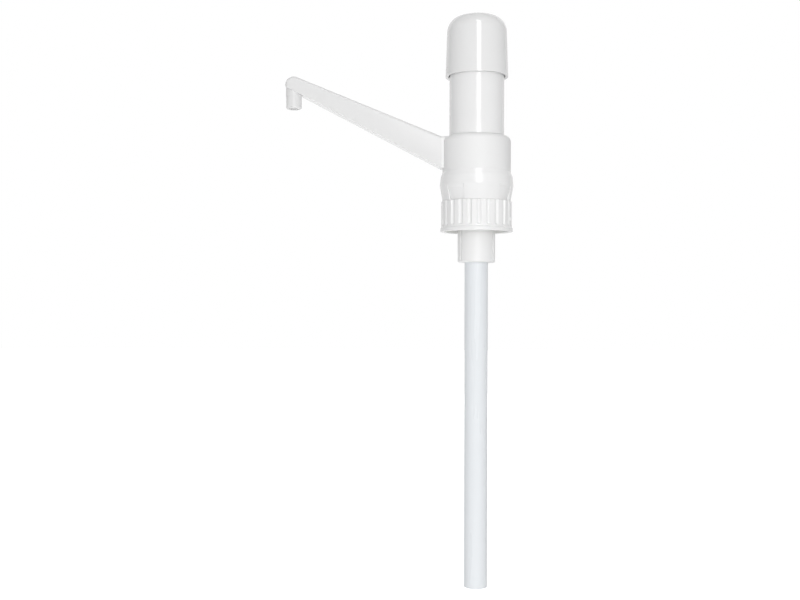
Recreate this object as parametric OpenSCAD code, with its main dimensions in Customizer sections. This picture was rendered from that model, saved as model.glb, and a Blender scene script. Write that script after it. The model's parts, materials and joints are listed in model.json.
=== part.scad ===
// Canister dispensing pump: a push cap slides down over a fixed barrel, and the liquid rises
// through a dip tube and leaves by a sloping spout. A ribbed collar screws it to a canister.
// The origin is on the pump's axis, on the face that seals on the canister's rim.
// Z points up along the axis and the spout points to -X.

/* [Screw collar] */
// Height of the collar
collar_h = 24.6; // [23:0.1:28]
// Diameter over the grip ribs
collar_rib_d = 57; // [56.4:0.1:60]
// Diameter of the foot flange
collar_flange_d = 58.5; // [57.4:0.1:62]
// Height of the foot flange
collar_flange_h = 3; // [2.5:0.1:5]
// Number of grip ribs
collar_ribs = 24; // [18:1:28]
// Depth of the flutes between the ribs
flute_depth = 1.2; // [0.7:0.1:1.3]
// Radius of each flute
flute_r = 1.8; // [1.6:0.1:3.2]
// Thickness of the web that holds the pump down
collar_web = 1.7; // [1.5:0.1:3.6]
// Diameter of the bore at the root of the thread
thread_d = 51.5; // [50.5:0.1:52]
// Height of the thread's ridge
thread_ridge = 1.6; // [1.2:0.1:1.8]
// Pitch of the thread
thread_pitch = 5; // [4.5:0.1:5.6]
// Turns of the thread
thread_turns = 2.5; // [1.5:0.1:2.8]
// Height of the snap ring on top of the collar
snap_h = 5.4; // [4.6:0.1:6.4]

/* [Canister seat] */
// Thickness of the canister gasket
gasket_t = 2; // [1.5:0.1:3.5]

/* [Tube holder] */
// Thickness of the holder's flange
holder_flange_t = 2.2; // [2:0.1:3.6]
// Diameter of the neck
neck_d = 30.3; // [28:0.1:31]
// Length of the neck below the canister's rim
neck_h = 43; // [36:0.5:52]
// Depth of the four grooves along the neck
neck_groove_depth = 2; // [0.6:0.1:2.4]
// Width of those grooves
neck_groove_w = 1.4; // [1:0.1:3]
// Turn of the grooves from the spout's plane, in degrees
neck_groove_turn = 33; // [20:1:70]
// Diameter of the spigot that plugs into the spout head
spigot_d = 35; // [33:0.1:36]
// Length of that spigot
spigot_h = 20.3; // [19:0.1:21]

/* [Inlet valve] */
// Diameter of the valve ball
ball_d = 14; // [12:0.1:15]
// Lift of the valve ball
ball_lift = 4; // [2.5:0.1:5]
// Bore through the valve seat
inlet_bore_d = 9; // [7.5:0.1:9.4]
// Thickness of the ball's cage
cage_t = 1.5; // [1.2:0.1:2.5]

/* [Dip tube] */
// Outside diameter of the dip tube
tube_d = 19; // [17:0.1:20]
// Wall of the dip tube
tube_wall = 1.5; // [1:0.1:2]
// Reach of the dip tube below the canister's rim
tube_reach = 305; // [200:1:420]
// Depth of the dip tube's socket in the neck
tube_socket_h = 20; // [14:0.5:26]

/* [Spout head] */
// Diameter of the spout head
head_d = 55.2; // [54:0.1:57]
// Height of the spout head over the collar
head_h = 52.6; // [51:0.1:56]
// Radius of the head's shoulder
shoulder_r = 5; // [3:0.1:5]
// Diameter of the pump chamber in the head
chamber_d = 39; // [37.5:0.1:39.4]
// Diameter of the outlet port
port_d = 6.4; // [5:0.1:7]

/* [Clip ring] */
// Largest diameter of the clip ring
ring_d = 59.4; // [58.6:0.1:62]
// Diameter where the rounded top of the ring ends
ring_top_d = 58.2; // [57.4:0.1:58.6]
// Diameter at the ring's lower edge
ring_foot_d = 54.9; // [54.6:0.1:57]
// Height of the ring
ring_h = 24; // [22:0.1:24.5]
// Height of the tapered part with the spring panels
panel_h = 12.3; // [10:0.1:13]
// Angle of each spring panel, in degrees
panel_angle = 31; // [20:1:40]
// Turn of the spring panels from the diagonals, in degrees
panel_turn = 5; // [0:1:20]
// Width of the slits that free the spring panels
panel_slit = 0.3; // [0.2:0.1:1]
// Depth that a spring panel is set back at its lower edge
panel_depth = 1.8; // [0.6:0.1:2]

/* [Pump barrel] */
// Outside diameter of the barrel
barrel_d = 44.3; // [44:0.1:45]
// Wall of the barrel
barrel_wall = 2.3; // [2:0.1:2.6]
// Depth that the barrel is plugged into the head
barrel_socket_h = 14.7; // [12:0.1:16]
// Barrel that shows between the head and the cap
barrel_show = 48.1; // [42:0.1:60]

/* [Push cap] */
// Height of the cap
cap_h = 49.8; // [49:0.1:60]
// Diameter of the cap's rim
cap_rim_d = 50.7; // [49.8:0.1:54]
// Diameter where the cap's dome starts
cap_top_d = 48.4; // [48.2:0.1:50]
// Wall of the cap
cap_wall = 1.5; // [1.2:0.1:1.6]
// Depth of the lip inside the cap's rim
cap_lip = 0.9; // [0.4:0.1:1]
// Radius of the corner of the dome
cap_corner_r = 13; // [9:0.5:13.5]
// Radius of the crown of the dome
cap_crown_r = 110; // [80:5:200]

/* [Plunger] */
// Stroke of the cap
stroke = 36; // [20:1:36]
// Diameter of the rod
rod_d = 12; // [10:0.1:14]
// Height of the piston
piston_h = 10; // [8.5:0.1:13]
// Height of the guide's plug in the barrel
guide_plug_h = 6; // [4:0.1:8]
// Height of the guide over the barrel
guide_h = 3.4; // [2.4:0.1:3.6]

/* [Return spring] */
// Diameter of the wire
wire_d = 1.8; // [1.4:0.1:2]
// Mean diameter of the coils
coil_d = 29; // [27:0.1:31]
// Number of coils
coils = 10; // [6:1:12]

/* [Spout arm] */
// Reach from the pump's axis to the nozzle
arm_reach = 148; // [110:0.5:190]
// Width of the arm
arm_w = 14; // [13.8:0.1:16]
// Height of the arm at its root
arm_root_h = 25.7; // [24.5:0.1:25.8]
// Height of the arm at the nozzle
arm_tip_h = 12.2; // [9:0.1:14]
// Rise of the arm's underside from its root to the nozzle
arm_rise = 62; // [30:0.1:80]
// Radius of the arm's rounded end
arm_end_r = 6.8; // [6.4:0.1:8]
// Radius along the arm's upper edges
arm_edge_r = 2.5; // [1:0.1:3]
// Wall of the arm over and under its channel
arm_wall = 1.8; // [1.4:0.1:2.2]
// Outside diameter of the nozzle
nozzle_d = 12.5; // [11:0.1:12.8]
// Bore of the nozzle
nozzle_bore_d = 8.6; // [6:0.1:9]
// Length of the nozzle below the arm
nozzle_h = 14.1; // [13.5:0.1:22]

/* [Outlet valve] */
// Width of the channel behind the valve
channel_w = 8.8; // [7.6:0.1:9.2]
// Thickness of the valve's seat plate
seat_plate_t = 1.6; // [1.3:0.1:1.8]
// Thickness of the flap
flap_t = 1; // [0.6:0.1:1.4]
// Radius of the bead that the flap turns on
bead_r = 1; // [0.7:0.1:1.1]

/* [Clearances] */
// Radial room between pieces that are plugged together
plug_gap = 0.1; // [0.05:0.01:0.15]
// Room between pieces that turn or slide past each other
run_gap = 0.35; // [0.3:0.01:0.4]
// Radial room between a seal or rod and its bore
slide_gap = 0.1; // [0.05:0.01:0.15]

/* [Hidden] */
$fn = 96;
eps = 0.01;
// Extra length of a cut past the face that it opens
cut = 1;

white = [0.93, 0.93, 0.92];
soft_white = [0.88, 0.88, 0.86];
natural = [0.86, 0.88, 0.92];
rubber = [0.16, 0.16, 0.17];
pale_foam = [0.78, 0.8, 0.6];
silicone = [0.75, 0.76, 0.74];
steel = [0.7, 0.71, 0.73];

// Heights, upward from the canister's rim
flange_z0 = gasket_t;
flange_z1 = flange_z0 + holder_flange_t;
web_z0 = flange_z1 + run_gap;
collar_z1 = web_z0 + collar_web;
collar_z0 = collar_z1 - collar_h;
head_z1 = collar_z1 + head_h;
floor_z = flange_z1 + spigot_h;
barrel_z0 = head_z1 - barrel_socket_h;
cap_z0 = head_z1 + barrel_show;
cap_z1 = cap_z0 + cap_h;
barrel_lap = 2.3;
barrel_seal_lift = 4.9;
barrel_z1 = cap_z0 + barrel_lap;
barrel_seal_z = barrel_z0 + barrel_seal_lift;
ring_z0 = collar_z1 + run_gap;
ring_z1 = ring_z0 + ring_h;
panel_z1 = ring_z0 + panel_h;

// Screw collar
thread_r = thread_d / 2;
crest_r = thread_r - thread_ridge;
rib_r = collar_rib_d / 2;
collar_flange_r = collar_flange_d / 2;
collar_top_r = 0.8;
collar_edge = 0.8;
flute_run_out = 1.6;
thread_lead_in = 1.1;
thread_root_w = 3;
thread_crest_w = 1.2;
thread_bite = 0.5;
thread_steps = 24;
thread_lap = 0.2;

// Tube holder and dip tube
neck_r = neck_d / 2;
tube_r = tube_d / 2;
tube_bore_r = tube_r - tube_wall;
tube_z1 = -neck_h + tube_socket_h;
spigot_r = spigot_d / 2;
holder_flange_r = crest_r - 2 * run_gap;
foot_band_h = 1.6;
foot_round = 1.2;
seal_groove = 1.3;
seal_groove_w = 2.2;
holder_seal_drop = 9.4;
holder_seal_z = floor_z - holder_seal_drop;

// Inlet valve: a ball on a conical seat of 45 degrees
ball_r = ball_d / 2;
inlet_r = inlet_bore_d / 2;
seat_gap = 0.2;
ball_room = 1.6;
ball_z = floor_z - run_gap - ball_lift - ball_r;
seat_z = ball_z + inlet_r - (ball_r + seat_gap) * sqrt(2);
ball_chamber_r = ball_r + ball_room;
seat_wall = 3;
passage_step = 2;
passage_r = inlet_r + passage_step;
cage_bar_w = 2.4;
cage_set_in = 1;

// Spout head
head_r = head_d / 2;
chamber_r = chamber_d / 2;
barrel_r = barrel_d / 2;
bore_r = barrel_r - barrel_wall;
socket_r = barrel_r + plug_gap;
chamber_wall = 2.8;
head_base_r = chamber_r + chamber_wall;
snap_wall = 1.8;
snap_bead = 0.8;
snap_r = head_base_r + run_gap + snap_wall;
ring_seat_step = 1.6;
ring_seat_r = head_r - ring_seat_step;
ring_seat_wall = 2;
ring_seat_h = 8.5;
socket_floor_t = 3;
cavity_z1 = barrel_z0 - socket_floor_t;
port_r = port_d / 2;
port_z = barrel_z0 - run_gap - port_r;

// Spout arm, measured outward from the axis along the spout
boss_reach = 1.2;
boss_x = head_r + boss_reach;
boss_lip = 0.15;
socket_depth = 5;
socket_x = boss_x - socket_depth;
arm_lift = 2.2;
arm_z0 = ring_z1 + arm_lift;
arm_z1 = arm_z0 + arm_root_h;
arm_run = arm_reach - boss_x;
under_slope = arm_rise / arm_run;
top_slope = (arm_rise + arm_tip_h - arm_root_h) / arm_run;
nozzle_r = nozzle_d / 2;
nozzle_step = 0.2;
nozzle_root_r = nozzle_r + nozzle_step;
nozzle_round = 1.5;
nozzle_free = 10.2;
arm_overhang = 0.2;
arm_end_x = arm_reach + nozzle_root_r + arm_overhang;
end_x = arm_end_x - arm_end_r;
end_z = top_z(end_x) - arm_end_r * sqrt(1 + top_slope * top_slope);
nozzle_z0 = under_z(arm_reach) - nozzle_h;
under_wall = arm_wall * sqrt(1 + under_slope * under_slope);
top_wall = arm_wall * sqrt(1 + top_slope * top_slope);

// Outlet valve
channel_hw = channel_w / 2;
spigot_wall = 1.3;
arm_spigot_hw = channel_hw + spigot_wall;
spigot_low_step = 2;
spigot_high_step = 4;
arm_spigot_z0 = arm_z0 + spigot_low_step;
arm_spigot_z1 = arm_z1 - spigot_high_step;
spigot_round = 2;
plate_x1 = socket_x + seat_plate_t;
channel_z0 = arm_spigot_z0 + spigot_wall;
channel_z1 = arm_spigot_z1 - spigot_wall;
bead_set_down = 0.6;
bead_bite = 1;
bead_z = channel_z1 - bead_r - bead_set_down;
bead_hw = channel_hw + bead_bite;
flap_hw = channel_hw - run_gap;
flap_clear = 0.8;
flap_z0 = channel_z0 + flap_clear;
flap_x0 = plate_x1 + slide_gap;

// Push cap
cap_rim_r = cap_rim_d / 2;
cap_top_r = cap_top_d / 2;
crown_z = cap_z1 - cap_crown_r;
corner_x = cap_top_r - cap_corner_r;
corner_z = crown_z + sqrt(pow(cap_crown_r - cap_corner_r, 2) - corner_x * corner_x);
corner_angle = atan2(corner_z - crown_z, corner_x);

// Plunger
rod_r = rod_d / 2;
guide_bore_r = rod_r + slide_gap;
guide_lip = 1;
guide_rim = 0.4;
guide_land = 3;
guide_r = bore_r + guide_lip;
guide_top_r = rod_r + guide_land;
piston_z1 = barrel_z1 - guide_plug_h - run_gap;
piston_z0 = piston_z1 - piston_h;
piston_r = bore_r - run_gap;
piston_seal_r = bore_r - slide_gap;
piston_groove_depth = 2.6;
piston_groove_r = piston_r - piston_groove_depth;
piston_groove_h = 5;
piston_groove_z0 = piston_z0 + (piston_h - piston_groove_h) / 2;
rod_insert = 6;
piston_web = 3;
rod_z0 = piston_z1 - rod_insert;
web_low_z = rod_z0 - piston_web;
boss_z0 = barrel_z1 + guide_h + stroke + run_gap;
boss_wall = 3;
boss_cover = 1.6;
rod_z1 = cap_z1 - cap_wall - boss_cover;
screw_r = 2;
screw_hole_h = 12;
screw_tip_gap = 1;
screw_head_r = 3.8;
screw_head_h = 2.4;
lip_h = 2.2;
lip_t = 0.9;

// Return spring
spring_z0 = floor_z + cage_t;
spring_h = piston_z0 - run_gap - spring_z0;
wire_r = wire_d / 2;
wire_sides = 6;
coil_steps = 8;
coil_room = 0.6;
end_pitch = wire_d + coil_room;
spring_boss_r = (coil_d / 2 - wire_r) * cos(180 / coil_steps) - run_gap;
spring_boss_h = 3;

function under_z(x) = arm_z0 + (x - boss_x) * under_slope;
function top_z(x) = arm_z1 + (x - boss_x) * top_slope;

// Points of an arc, from angle a0 to angle a1
function arc(x, z, r, a0, a1, n = 12) = [
    for (i = [0:n])
        let (a = a0 + (a1 - a0) * i / n)
        [x + r * cos(a), z + r * sin(a)]
];

// Section of the cap's outside, drawn in by a given thickness, from its axis down to its rim
function dome(inset) =
    let (crown = arc(0, crown_z, cap_crown_r - inset, 90, corner_angle, 6))
    concat(
        [for (i = [0:5]) crown[i]],
        arc(corner_x, corner_z, cap_corner_r - inset, corner_angle, 0, 20),
        [[cap_rim_r - inset, cap_z0]]
    );

module turned(points) {
    rotate_extrude()
        polygon(points);
}

// A round seal ring
module seal_ring(ring_r, section_r, z) {
    translate([0, 0, z])
        rotate_extrude()
            translate([ring_r, 0])
                circle(section_r, $fn = 32);
}

// Places what is drawn along +X on the spout's side
module on_spout() {
    rotate([0, 0, 180])
        children();
}

// A slab across the spout's plane: an outline in X and Z, with a width along Y
module slab(width) {
    translate([0, width / 2, 0])
        rotate([90, 0, 0])
            linear_extrude(width)
                children();
}

// A bar along X whose section has round corners
module round_bar(x0, x1, half_w, z0, z1, r) {
    translate([x0, 0, 0])
        rotate([90, 0, 90])
            linear_extrude(x1 - x0) {
                translate([-half_w + r, z0])
                    square([2 * (half_w - r), z1 - z0]);
                translate([-half_w, z0 + r])
                    square([2 * half_w, z1 - z0 - 2 * r]);
                for (y = [-half_w + r, half_w - r])
                    for (z = [z0 + r, z1 - r])
                        translate([y, z])
                            circle(r, $fn = 48);
            }
}

// Plug that carries the arm in the head, grown all round by a given room
module spigot_bar(x0, x1, room) {
    round_bar(
        x0, x1, arm_spigot_hw + room, arm_spigot_z0 - room, arm_spigot_z1 + room, spigot_round + room
    );
}

// Cut across the spout's plane for the bead that the flap turns on
module bead_groove() {
    translate([plate_x1, 0, bead_z])
        rotate([90, 0, 0])
            cylinder(h = 2 * (bead_hw + slide_gap), r = bead_r + slide_gap, center = true);
}

// A tube swept through rings of points, closed at both ends
module swept(rings) {
    sides = len(rings[0]);
    last = len(rings) - 1;
    faces = concat(
        [for (k = [1:sides - 2]) [0, k, k + 1]],
        [for (k = [1:sides - 2]) [last * sides, last * sides + k + 1, last * sides + k]],
        [
            for (i = [0:last - 1], k = [0:sides - 1])
                let (n = (k + 1) % sides)
                each [
                    [i * sides + k, (i + 1) * sides + k, i * sides + n],
                    [i * sides + n, (i + 1) * sides + k, (i + 1) * sides + n]
                ]
        ]
    );
    polyhedron([for (ring = rings) each ring], faces);
}

// Ridge of the collar's thread, in short steps that climb by one pitch a turn
module thread() {
    count = round(thread_turns * thread_steps);
    step = 360 / thread_steps;
    z0 = collar_z0 + thread_lead_in + thread_root_w / 2;
    root_r = thread_r + thread_bite;
    for (i = [0:count - 1])
        translate([0, 0, z0 + thread_pitch * i / thread_steps])
            rotate([0, 0, step * (i + 0.5)])
                rotate_extrude(angle = step + thread_lap)
                    polygon([
                        [root_r, -thread_root_w / 2],
                        [root_r, thread_root_w / 2],
                        [crest_r, thread_crest_w / 2],
                        [crest_r, -thread_crest_w / 2]
                    ]);
}

module screw_collar() {
    flange_z = collar_z0 + collar_flange_h;
    color(white) {
        difference() {
            turned(concat(
                [
                    [spigot_r + run_gap, web_z0],
                    [spigot_r + run_gap, collar_z1],
                    [snap_r - snap_wall, collar_z1],
                    [snap_r - snap_wall, collar_z1 + snap_h],
                    [snap_r, collar_z1 + snap_h],
                    [snap_r + snap_bead, collar_z1 + snap_h - snap_bead],
                    [snap_r + snap_bead, collar_z1 + snap_h - 2 * snap_bead],
                    [snap_r, collar_z1 + snap_h - 3 * snap_bead],
                    [snap_r, collar_z1]
                ],
                arc(rib_r - collar_top_r, collar_z1 - collar_top_r, collar_top_r, 90, 0, 8),
                [
                    [rib_r, flange_z + collar_edge],
                    [collar_flange_r - collar_edge, flange_z],
                    [collar_flange_r, flange_z - collar_edge],
                    [collar_flange_r, collar_z0 + collar_edge],
                    [collar_flange_r - collar_edge, collar_z0],
                    [thread_r + collar_edge, collar_z0],
                    [thread_r, collar_z0 + collar_edge],
                    [thread_r, web_z0]
                ]
            ));
            for (i = [0:collar_ribs - 1])
                rotate([0, 0, i * 360 / collar_ribs])
                    translate([rib_r + flute_r - flute_depth, 0, flange_z + flute_run_out + flute_r]) {
                        cylinder(h = collar_h, r = flute_r, $fn = 48);
                        sphere(flute_r, $fn = 48);
                    }
        }
        thread();
    }
}

module canister_gasket() {
    gasket_r0 = neck_r + 2 * run_gap;
    gasket_r1 = crest_r - run_gap / 2;
    color(pale_foam)
        turned([[gasket_r0, 0], [gasket_r1, 0], [gasket_r1, gasket_t], [gasket_r0, gasket_t]]);
}

module spout_head() {
    color(white)
        difference() {
            union() {
                turned(concat(
                    [[chamber_r, barrel_z0], [socket_r, barrel_z0], [socket_r, head_z1]],
                    arc(head_r - shoulder_r, head_z1 - shoulder_r, shoulder_r, 90, 0, 14),
                    [
                        [head_r, ring_z1],
                        [ring_seat_r, ring_z1],
                        [ring_seat_r, ring_z1 - ring_seat_h],
                        [ring_seat_r - ring_seat_wall, ring_z1 - ring_seat_h],
                        [ring_seat_r - ring_seat_wall, cavity_z1],
                        [head_base_r, cavity_z1],
                        [head_base_r, collar_z1],
                        [spigot_r + plug_gap, collar_z1],
                        [spigot_r + plug_gap, floor_z],
                        [chamber_r, floor_z]
                    ]
                ));
                on_spout()
                    difference() {
                        round_bar(
                            chamber_r, boss_x, arm_w / 2 + boss_lip, arm_z0 - boss_lip, arm_z1 + boss_lip,
                            arm_edge_r
                        );
                        cylinder(h = barrel_z0, r = chamber_r + chamber_wall / 2);
                        cylinder(h = head_z1, r = socket_r);
                    }
            }
            on_spout() {
                spigot_bar(socket_x, boss_x + cut, plug_gap);
                translate([chamber_r - cut, 0, port_z])
                    rotate([0, 90, 0])
                        cylinder(h = socket_x - chamber_r + 2 * cut, r = port_r);
            }
        }
}

module clip_ring() {
    hook_r = snap_r + run_gap;
    inner_r = snap_r + snap_bead + run_gap;
    seat_r = ring_seat_r + plug_gap;
    foot_r = ring_foot_d / 2;
    top_r = ring_top_d / 2;
    ring_r = ring_d / 2;
    top_round_h = 5.5;
    panel_ledge = 0.2;
    hook_h = snap_h - 3 * snap_bead - 2 * run_gap;
    seat_z = ring_z1 - ring_seat_h - run_gap;
    top_round = [
        for (i = [0:10])
            let (t = i / 10)
            [head_r + (top_r - head_r) * t * t * (3 - 2 * t), ring_z1 - top_round_h * t]
    ];
    color(white)
        difference() {
            turned(concat(
                [
                    [hook_r, ring_z0],
                    [hook_r, ring_z0 + hook_h],
                    [inner_r, ring_z0 + hook_h + snap_bead],
                    [inner_r, seat_z],
                    [seat_r, seat_z],
                    [seat_r, ring_z1]
                ],
                top_round,
                [[ring_r, panel_z1], [foot_r, ring_z0]]
            ));
            for (i = [0:3])
                rotate([0, 0, 45 + 90 * i + panel_turn - panel_angle / 2]) {
                    rotate_extrude(angle = panel_angle)
                        polygon([
                            [foot_r - panel_depth, ring_z0 - cut],
                            [ring_r + cut, ring_z0 - cut],
                            [ring_r + cut, panel_z1],
                            [ring_r - panel_ledge, panel_z1],
                            [foot_r - panel_depth, ring_z0]
                        ]);
                    for (side = [0, panel_angle])
                        rotate([0, 0, side])
                            translate([hook_r - cut, -panel_slit / 2, ring_z0 - cut])
                                cube([ring_r - hook_r + 2 * cut, panel_slit, panel_h + cut - panel_slit]);
                }
        }
}

module pump_barrel() {
    groove_z0 = barrel_seal_z - seal_groove_w / 2;
    groove_z1 = barrel_seal_z + seal_groove_w / 2;
    top_round = 1;
    color(soft_white)
        turned(concat(
            [
                [bore_r, barrel_z0],
                [barrel_r, barrel_z0],
                [barrel_r, groove_z0],
                [barrel_r - seal_groove, groove_z0],
                [barrel_r - seal_groove, groove_z1],
                [barrel_r, groove_z1]
            ],
            arc(barrel_r - top_round, barrel_z1 - top_round, top_round, 0, 90, 6),
            [[bore_r, barrel_z1]]
        ));
}

module barrel_seal() {
    section_r = (seal_groove + plug_gap) / 2;
    color(rubber)
        seal_ring(barrel_r - seal_groove + section_r, section_r, barrel_seal_z);
}

module rod_guide() {
    color(soft_white)
        turned(concat(
            [
                [guide_bore_r, barrel_z1 - guide_plug_h],
                [bore_r - plug_gap, barrel_z1 - guide_plug_h],
                [bore_r - plug_gap, barrel_z1],
                [guide_r, barrel_z1]
            ],
            [
                for (i = [0:8])
                    let (a = 90 * i / 8)
                    [
                        guide_top_r + (guide_r - guide_top_r) * cos(a),
                        barrel_z1 + guide_rim + (guide_h - guide_rim) * sin(a)
                    ]
            ],
            [[guide_bore_r, barrel_z1 + guide_h]]
        ));
}

module tube_holder() {
    groove_z0 = holder_seal_z - seal_groove_w / 2;
    groove_z1 = holder_seal_z + seal_groove_w / 2;
    neck_z0 = -neck_h;
    color(soft_white)
        difference() {
            turned(concat(
                [
                    [tube_r + plug_gap, neck_z0],
                    [tube_r + plug_gap, tube_z1],
                    [passage_r, tube_z1],
                    [passage_r, seat_z - seat_wall],
                    [inlet_r, seat_z - seat_wall + passage_r - inlet_r],
                    [inlet_r, seat_z],
                    [ball_chamber_r, seat_z + ball_chamber_r - inlet_r],
                    [ball_chamber_r, floor_z],
                    [spigot_r, floor_z],
                    [spigot_r, groove_z1],
                    [spigot_r - seal_groove, groove_z1],
                    [spigot_r - seal_groove, groove_z0],
                    [spigot_r, groove_z0],
                    [spigot_r, flange_z1],
                    [holder_flange_r, flange_z1],
                    [holder_flange_r, flange_z0],
                    [neck_r, flange_z0]
                ],
                arc(neck_r - foot_round, neck_z0 + foot_round, foot_round, 0, -90, 5)
            ));
            for (turn = [-neck_groove_turn, neck_groove_turn], side = [0, 180])
                rotate([0, 0, turn + side])
                    translate([neck_r - neck_groove_depth, -neck_groove_w / 2, neck_z0 + foot_band_h])
                        cube([neck_groove_depth + cut, neck_groove_w, flange_z0 - neck_z0 - foot_band_h]);
        }
}

module holder_seal() {
    section_r = (seal_groove + plug_gap) / 2;
    color(rubber)
        seal_ring(spigot_r - seal_groove + section_r, section_r, holder_seal_z);
}

module valve_cage() {
    cage_r = spigot_r - cage_set_in;
    bar_l = 2 * (ball_chamber_r + cut);
    color(soft_white) {
        turned([
            [ball_chamber_r, floor_z],
            [cage_r, floor_z],
            [cage_r, floor_z + cage_t],
            [ball_chamber_r, floor_z + cage_t]
        ]);
        for (a = [0, 90])
            rotate([0, 0, a])
                translate([-bar_l / 2, -cage_bar_w / 2, floor_z])
                    cube([bar_l, cage_bar_w, cage_t]);
    }
}

module inlet_ball() {
    color(steel)
        translate([0, 0, ball_z])
            sphere(ball_r);
}

module dip_tube() {
    color(natural)
        turned([
            [tube_bore_r, -tube_reach],
            [tube_r, -tube_reach],
            [tube_r, tube_z1],
            [tube_bore_r, tube_z1]
        ]);
}

// Rounded end of the arm, lying across the spout's plane
module arm_end() {
    hw = arm_w / 2;
    translate([end_x, 0, end_z])
        rotate([90, 0, 0])
            rotate_extrude($fn = 64)
                polygon(concat(
                    [[0, -hw]],
                    arc(arm_end_r - arm_edge_r, -hw + arm_edge_r, arm_edge_r, -90, 0, 5),
                    arc(arm_end_r - arm_edge_r, hw - arm_edge_r, arm_edge_r, 0, 90, 5),
                    [[0, hw]]
                ));
}

// Arm with round upper edges and a flat underside
module arm_beam() {
    root_x = boss_x - 2 * arm_edge_r;
    slant = sqrt(1 + top_slope * top_slope);
    below = 8;
    above = 40;
    intersection() {
        hull() {
            arm_end();
            for (y = [arm_edge_r - arm_w / 2, arm_w / 2 - arm_edge_r])
                for (z = [top_z(root_x) - arm_edge_r * slant, under_z(root_x) - below])
                    translate([root_x, y, z])
                        sphere(arm_edge_r, $fn = 32);
        }
        slab(arm_w + 2 * cut)
            polygon([
                [boss_x, under_z(boss_x)],
                [arm_end_x + cut, under_z(arm_end_x + cut)],
                [arm_end_x + cut, top_z(arm_end_x) + above],
                [boss_x, top_z(arm_end_x) + above]
            ]);
    }
}

// Passage for the liquid through the arm
module arm_channel() {
    start_x = boss_x + arm_wall;
    lap = 2;
    slab(channel_w) {
        translate([plate_x1 - cut, channel_z0])
            square([start_x - plate_x1 + cut + lap, channel_z1 - channel_z0]);
        polygon([
            [start_x, under_z(start_x) + under_wall],
            [end_x, under_z(end_x) + under_wall],
            [end_x, top_z(end_x) - top_wall],
            [start_x, top_z(start_x) - top_wall]
        ]);
        intersection() {
            translate([end_x, end_z])
                circle(arm_end_r - arm_wall);
            polygon([
                [end_x, under_z(end_x) + under_wall],
                [arm_end_x, under_z(arm_end_x) + under_wall],
                [arm_end_x, end_z + arm_end_r],
                [end_x, end_z + arm_end_r]
            ]);
        }
    }
}

module spout_arm() {
    rise = end_z - nozzle_z0;
    lip = 0.4;
    nozzle_bore_r = nozzle_bore_d / 2;
    color(white)
        on_spout()
            difference() {
                union() {
                    arm_beam();
                    spigot_bar(plate_x1, boss_x + cut, 0);
                    translate([arm_reach, 0, nozzle_z0])
                        turned(concat(
                            [[0, 0]],
                            arc(nozzle_r - nozzle_round, nozzle_round, nozzle_round, -90, 0, 6),
                            [
                                [nozzle_r, nozzle_free],
                                [nozzle_root_r, nozzle_free],
                                [nozzle_root_r, rise],
                                [0, rise]
                            ]
                        ));
                }
                arm_channel();
                translate([arm_reach, 0, nozzle_z0])
                    turned([
                        [0, -cut],
                        [nozzle_bore_r + lip + cut, -cut],
                        [nozzle_bore_r, lip],
                        [nozzle_bore_r, rise],
                        [0, rise]
                    ]);
                bead_groove();
            }
}

module outlet_seat() {
    color(silicone)
        on_spout()
            difference() {
                spigot_bar(socket_x, plate_x1, 0);
                translate([socket_x - cut, 0, port_z])
                    rotate([0, 90, 0])
                        cylinder(h = seat_plate_t + 2 * cut, r = port_r);
                bead_groove();
            }
}

module outlet_flap() {
    color(silicone)
        on_spout() {
            translate([plate_x1, 0, bead_z])
                rotate([90, 0, 0])
                    cylinder(h = 2 * bead_hw, r = bead_r, center = true);
            translate([flap_x0, -flap_hw, flap_z0])
                cube([flap_t, 2 * flap_hw, bead_z - flap_z0]);
        }
}

// Height of the wire's centre after a number of turns: the first and last coils lie close
function coil_z(turn) =
    let (
        rise = spring_h - wire_d - 2 * end_pitch,
        body = max(0, min(coils - 2, turn - 1)),
        ends = min(1, turn) + max(0, turn - coils + 1)
    )
    spring_z0 + wire_r + end_pitch * ends + rise * body / (coils - 2);

function coil_point(turn) =
    [coil_d / 2 * cos(360 * turn), coil_d / 2 * sin(360 * turn), coil_z(turn)];

// Least gap between neighbouring coils, measured on points along the wire
coil_gap = min([
    for (i = [0:(coils - 1) * coil_steps], k = [-2:2])
        norm(coil_point(i / coil_steps + 1 + k / 64) - coil_point(i / coil_steps))
]) - wire_d;
echo(least_gap_of_the_spring = coil_gap);

module return_spring() {
    color(steel)
        swept([
            for (i = [0:coils * coil_steps])
                let (
                    turn = i / coil_steps,
                    a = 360 * turn,
                    c = coil_point(turn)
                )
                [
                    for (k = [0:wire_sides - 1])
                        let (b = 360 * k / wire_sides + 90)
                        c + wire_r * [cos(b) * cos(a), cos(b) * sin(a), sin(b)]
                ]
        ]);
}

module press_cap() {
    boss_r = rod_r + boss_wall;
    lip_r = cap_rim_r - cap_wall - cap_lip;
    cap_lip_h = 2;
    inside = dome(cap_wall);
    color(white)
        difference() {
            union() {
                turned(concat(
                    dome(0),
                    [
                        [lip_r, cap_z0],
                        [lip_r, cap_z0 + cap_lip_h],
                        [lip_r + cap_lip, cap_z0 + cap_lip_h + cap_lip]
                    ],
                    [for (i = [len(inside) - 2:-1:0]) inside[i]]
                ));
                intersection() {
                    translate([0, 0, boss_z0])
                        cylinder(h = cap_z1 - boss_z0, r = boss_r);
                    turned(concat(dome(cap_wall / 2), [[0, cap_z0]]));
                }
            }
            translate([0, 0, boss_z0 - cut])
                cylinder(h = rod_z1 - boss_z0 + cut, r = rod_r);
        }
}

module plunger_rod() {
    color(soft_white)
        difference() {
            translate([0, 0, rod_z0])
                cylinder(h = rod_z1 - rod_z0, r = rod_r);
            translate([0, 0, rod_z0 - cut])
                cylinder(h = screw_hole_h + cut, r = screw_r);
        }
}

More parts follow.
